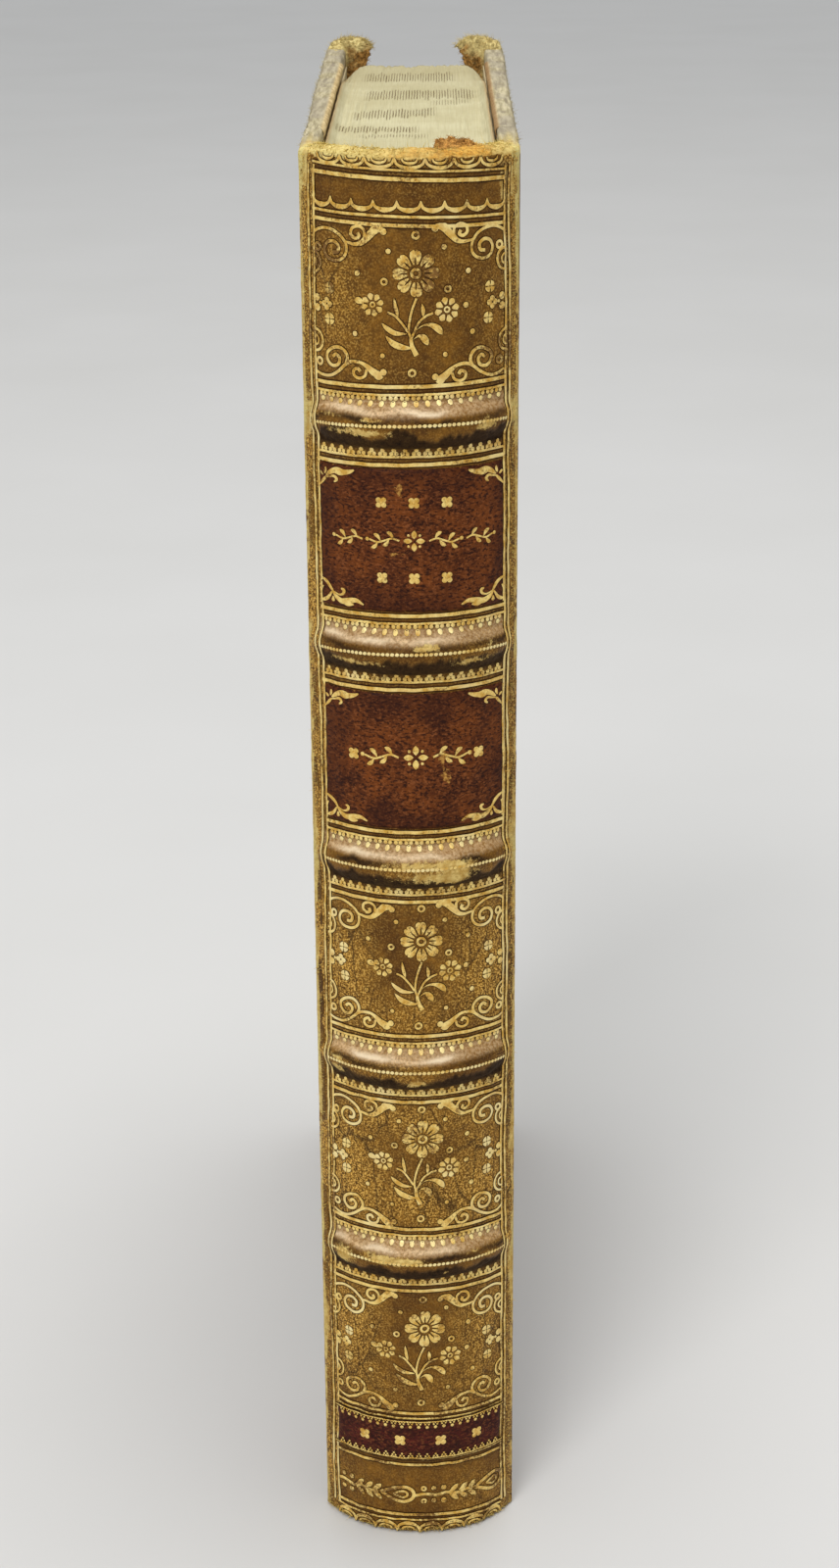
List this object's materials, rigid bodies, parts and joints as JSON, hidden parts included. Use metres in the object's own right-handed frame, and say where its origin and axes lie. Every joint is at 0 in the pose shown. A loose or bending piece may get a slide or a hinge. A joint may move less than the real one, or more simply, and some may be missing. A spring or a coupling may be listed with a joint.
{
  "type": "antique leather book",
  "caption": "Small antique half-leather book that stands on its tail, with a rounded spine, raised bands, dark leather labels and hinged covers.",
  "frame": {"origin": "middle of the tail, on the surface the book stands on, midway between the outer faces of the covers and midway between the raised bands and the fore-edge", "axes": "+Z from tail to head, -Y out of the spine, +Y to the fore-edge, +X out of the front cover"},
  "size_m": [0.0242, 0.1154, 0.176],
  "materials": {
    "leaves": "aged cream paper, cut edges browned and spotted",
    "lining": "plain lining paper, browned with glue",
    "cord": "twisted hemp cord",
    "leather": "mottled brown calf, gilt tooled, rubbed at the edges",
    "label": "dark red-brown grained goatskin, gilt tooled, scuffed",
    "board": "dense grey-brown millboard",
    "side_paper": "marbled paper, worn through at the edges",
    "pastedown": "aged plain endpaper"
  },
  "bodies": {
    "book_block": {"text_block": "leaves", "spine_lining": "lining", "sewing_cord_1": "cord", "sewing_cord_2": "cord", "sewing_cord_3": "cord", "sewing_cord_4": "cord", "sewing_cord_5": "cord", "spine_leather": "leather", "title_label": "label", "author_label": "label", "date_label": "label"},
    "front_cover": {"front_board": "board", "front_cord_slips": "cord", "front_leather_side": "leather", "front_paper_side": "side_paper", "front_top_corner": "leather", "front_bottom_corner": "leather", "front_pastedown": "pastedown"},
    "back_cover": {"back_board": "board", "back_cord_slips": "cord", "back_leather_side": "leather", "back_paper_side": "side_paper", "back_top_corner": "leather", "back_bottom_corner": "leather", "back_pastedown": "pastedown"}
  },
  "joints": [
    {"name": "front_joint", "type": "hinge", "parent": "book_block", "child": "front_cover", "pos_m": [0.0121, -0.0493, 0.088], "axis": [0, 0, -1], "range_deg": [0, 170]},
    {"name": "back_joint", "type": "hinge", "parent": "book_block", "child": "back_cover", "pos_m": [-0.0121, -0.0493, 0.088], "axis": [0, 0, 1], "range_deg": [0, 170]}
  ]
}
